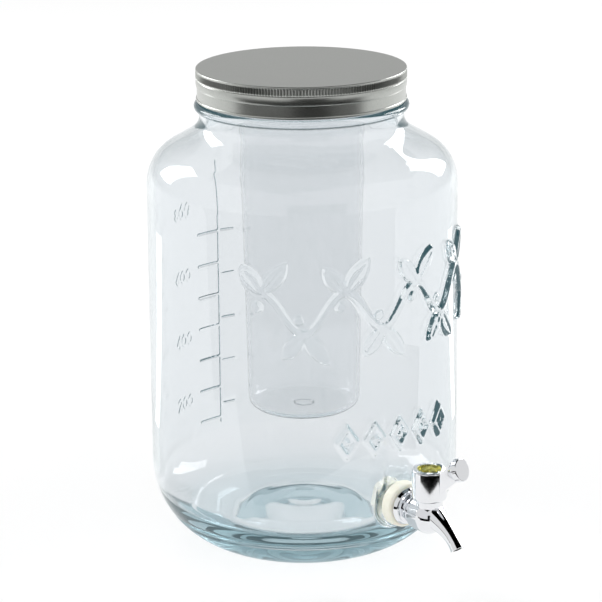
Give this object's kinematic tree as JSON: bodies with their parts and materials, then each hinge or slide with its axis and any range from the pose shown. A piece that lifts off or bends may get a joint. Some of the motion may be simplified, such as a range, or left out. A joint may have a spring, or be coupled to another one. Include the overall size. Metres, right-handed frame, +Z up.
{
  "type": "glass drinks or detergent dispenser jar with tap",
  "caption": "Wide-mouth pressed-glass dispenser jar with screw lid, hanging inner tube and a quarter-turn lever tap near its foot.",
  "frame": {"origin": "centre of the jar's foot, on the surface it stands on", "axes": "+Z up along the jar's axis; the tap looks along -Y; +X to the right seen from the tap's side"},
  "size_m": [0.2116, 0.2764, 0.3319],
  "materials": {
    "jar_glass": "clear",
    "lid_metal": "satin",
    "liner": "satin",
    "clear_plastic": "clear",
    "tap_chrome": "polished",
    "silicone": "satin",
    "nut_plastic": "satin",
    "seal_rubber": "satin",
    "brass": "polished",
    "stainless": "satin",
    "washer_plastic": "satin"
  },
  "bodies": {
    "jar": {"glass_jar": "jar_glass", "tap_body": "tap_chrome", "flange_cup": "tap_chrome", "outer_gasket": "silicone", "inner_washer": "silicone", "slip_washer": "washer_plastic", "lock_nut": "nut_plastic", "seat_seal": "washer_plastic", "bonnet_nut": "tap_chrome", "spring_washer": "stainless", "friction_washer": "washer_plastic"},
    "insert": {"ice_insert": "clear_plastic"},
    "seal": {"lid_liner": "liner"},
    "lid": {"lid_shell": "lid_metal"},
    "handle": {"valve_plug": "stainless", "plug_ring_lower": "seal_rubber", "plug_ring_upper": "seal_rubber", "handle": "tap_chrome", "lever_knob": "tap_chrome", "screw_washer": "stainless", "handle_screw": "stainless", "cap_insert": "brass"}
  },
  "joints": [
    {"name": "insert_lift", "type": "slide", "parent": "jar", "child": "insert", "axis": [0, 0, 1], "range_m": [0, 0.25]},
    {"name": "lid_rise", "type": "slide", "parent": "insert", "child": "seal", "axis": [0, 0, 1], "range_m": [0, 0.0192]},
    {"name": "lid_turn", "type": "hinge", "parent": "seal", "child": "lid", "pos_m": [0, 0, 0.32], "axis": [0, 0, 1], "range_deg": [0, 1080]},
    {"name": "handle_turn", "type": "hinge", "parent": "jar", "child": "handle", "pos_m": [0, -0.1372, 0.054], "axis": [0, 0, 1], "range_deg": [-18.7, 71.3]}
  ],
  "couplings": [
    {"joint": "lid_rise", "follows": "lid_turn", "m_per_rad": 0.0010106}
  ]
}
